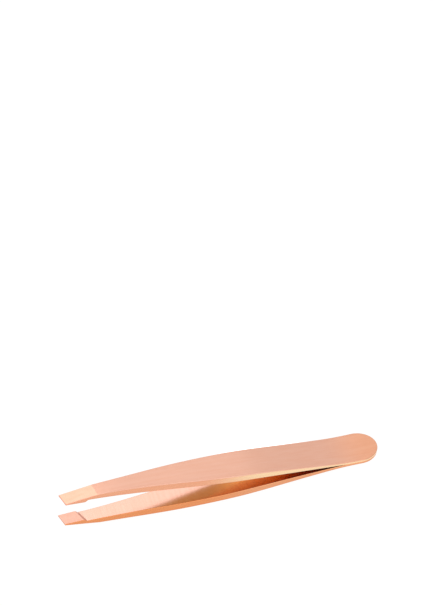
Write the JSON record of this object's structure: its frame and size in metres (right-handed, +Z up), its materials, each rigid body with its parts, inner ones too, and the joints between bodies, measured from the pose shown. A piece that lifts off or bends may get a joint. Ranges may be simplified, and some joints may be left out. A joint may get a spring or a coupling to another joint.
{
  "type": "slant tweezers",
  "caption": "Sprung steel slant-tip tweezers: a pair of tapered strips welded at a round tail, bowed apart towards ground slanted jaws.",
  "frame": {"origin": "middle of the footprint, at the height of the table that the lower strip's belly rests on", "axes": "+X from the jaws towards the round tail, +Y across the strips, +Z up, away from the table"},
  "size_m": [0.0954, 0.0104, 0.0142],
  "materials": {
    "satin_rose_gold": "satin rose-gold colour plating on stainless steel, fine lengthwise grain, ground edges slightly brighter",
    "weld_metal": "fused steel inside the seam"
  },
  "bodies": {
    "welded_tail": {"upper_tail": "satin_rose_gold", "lower_tail": "satin_rose_gold", "front_weld_nugget": "weld_metal", "rear_weld_nugget": "weld_metal", "upper_spring_leaf": "satin_rose_gold", "lower_spring_leaf": "satin_rose_gold"},
    "upper_jaw_arm": {"upper_arm": "satin_rose_gold"},
    "lower_jaw_arm": {"lower_arm": "satin_rose_gold"}
  },
  "joints": [
    {"name": "upper_arm_flex", "type": "hinge", "parent": "welded_tail", "child": "upper_jaw_arm", "pos_m": [0.0302, 0, 0.00374], "axis": [0, -1, 0], "range_deg": [0, 3.12], "stiffness_Nm_per_rad": 1, "deforming": ["upper_spring_leaf"]},
    {"name": "lower_arm_flex", "type": "hinge", "parent": "welded_tail", "child": "lower_jaw_arm", "pos_m": [0.03006, 0, 0.00189], "axis": [0, 1, 0], "range_deg": [0, 3.12], "stiffness_Nm_per_rad": 1, "deforming": ["lower_spring_leaf"]}
  ]
}
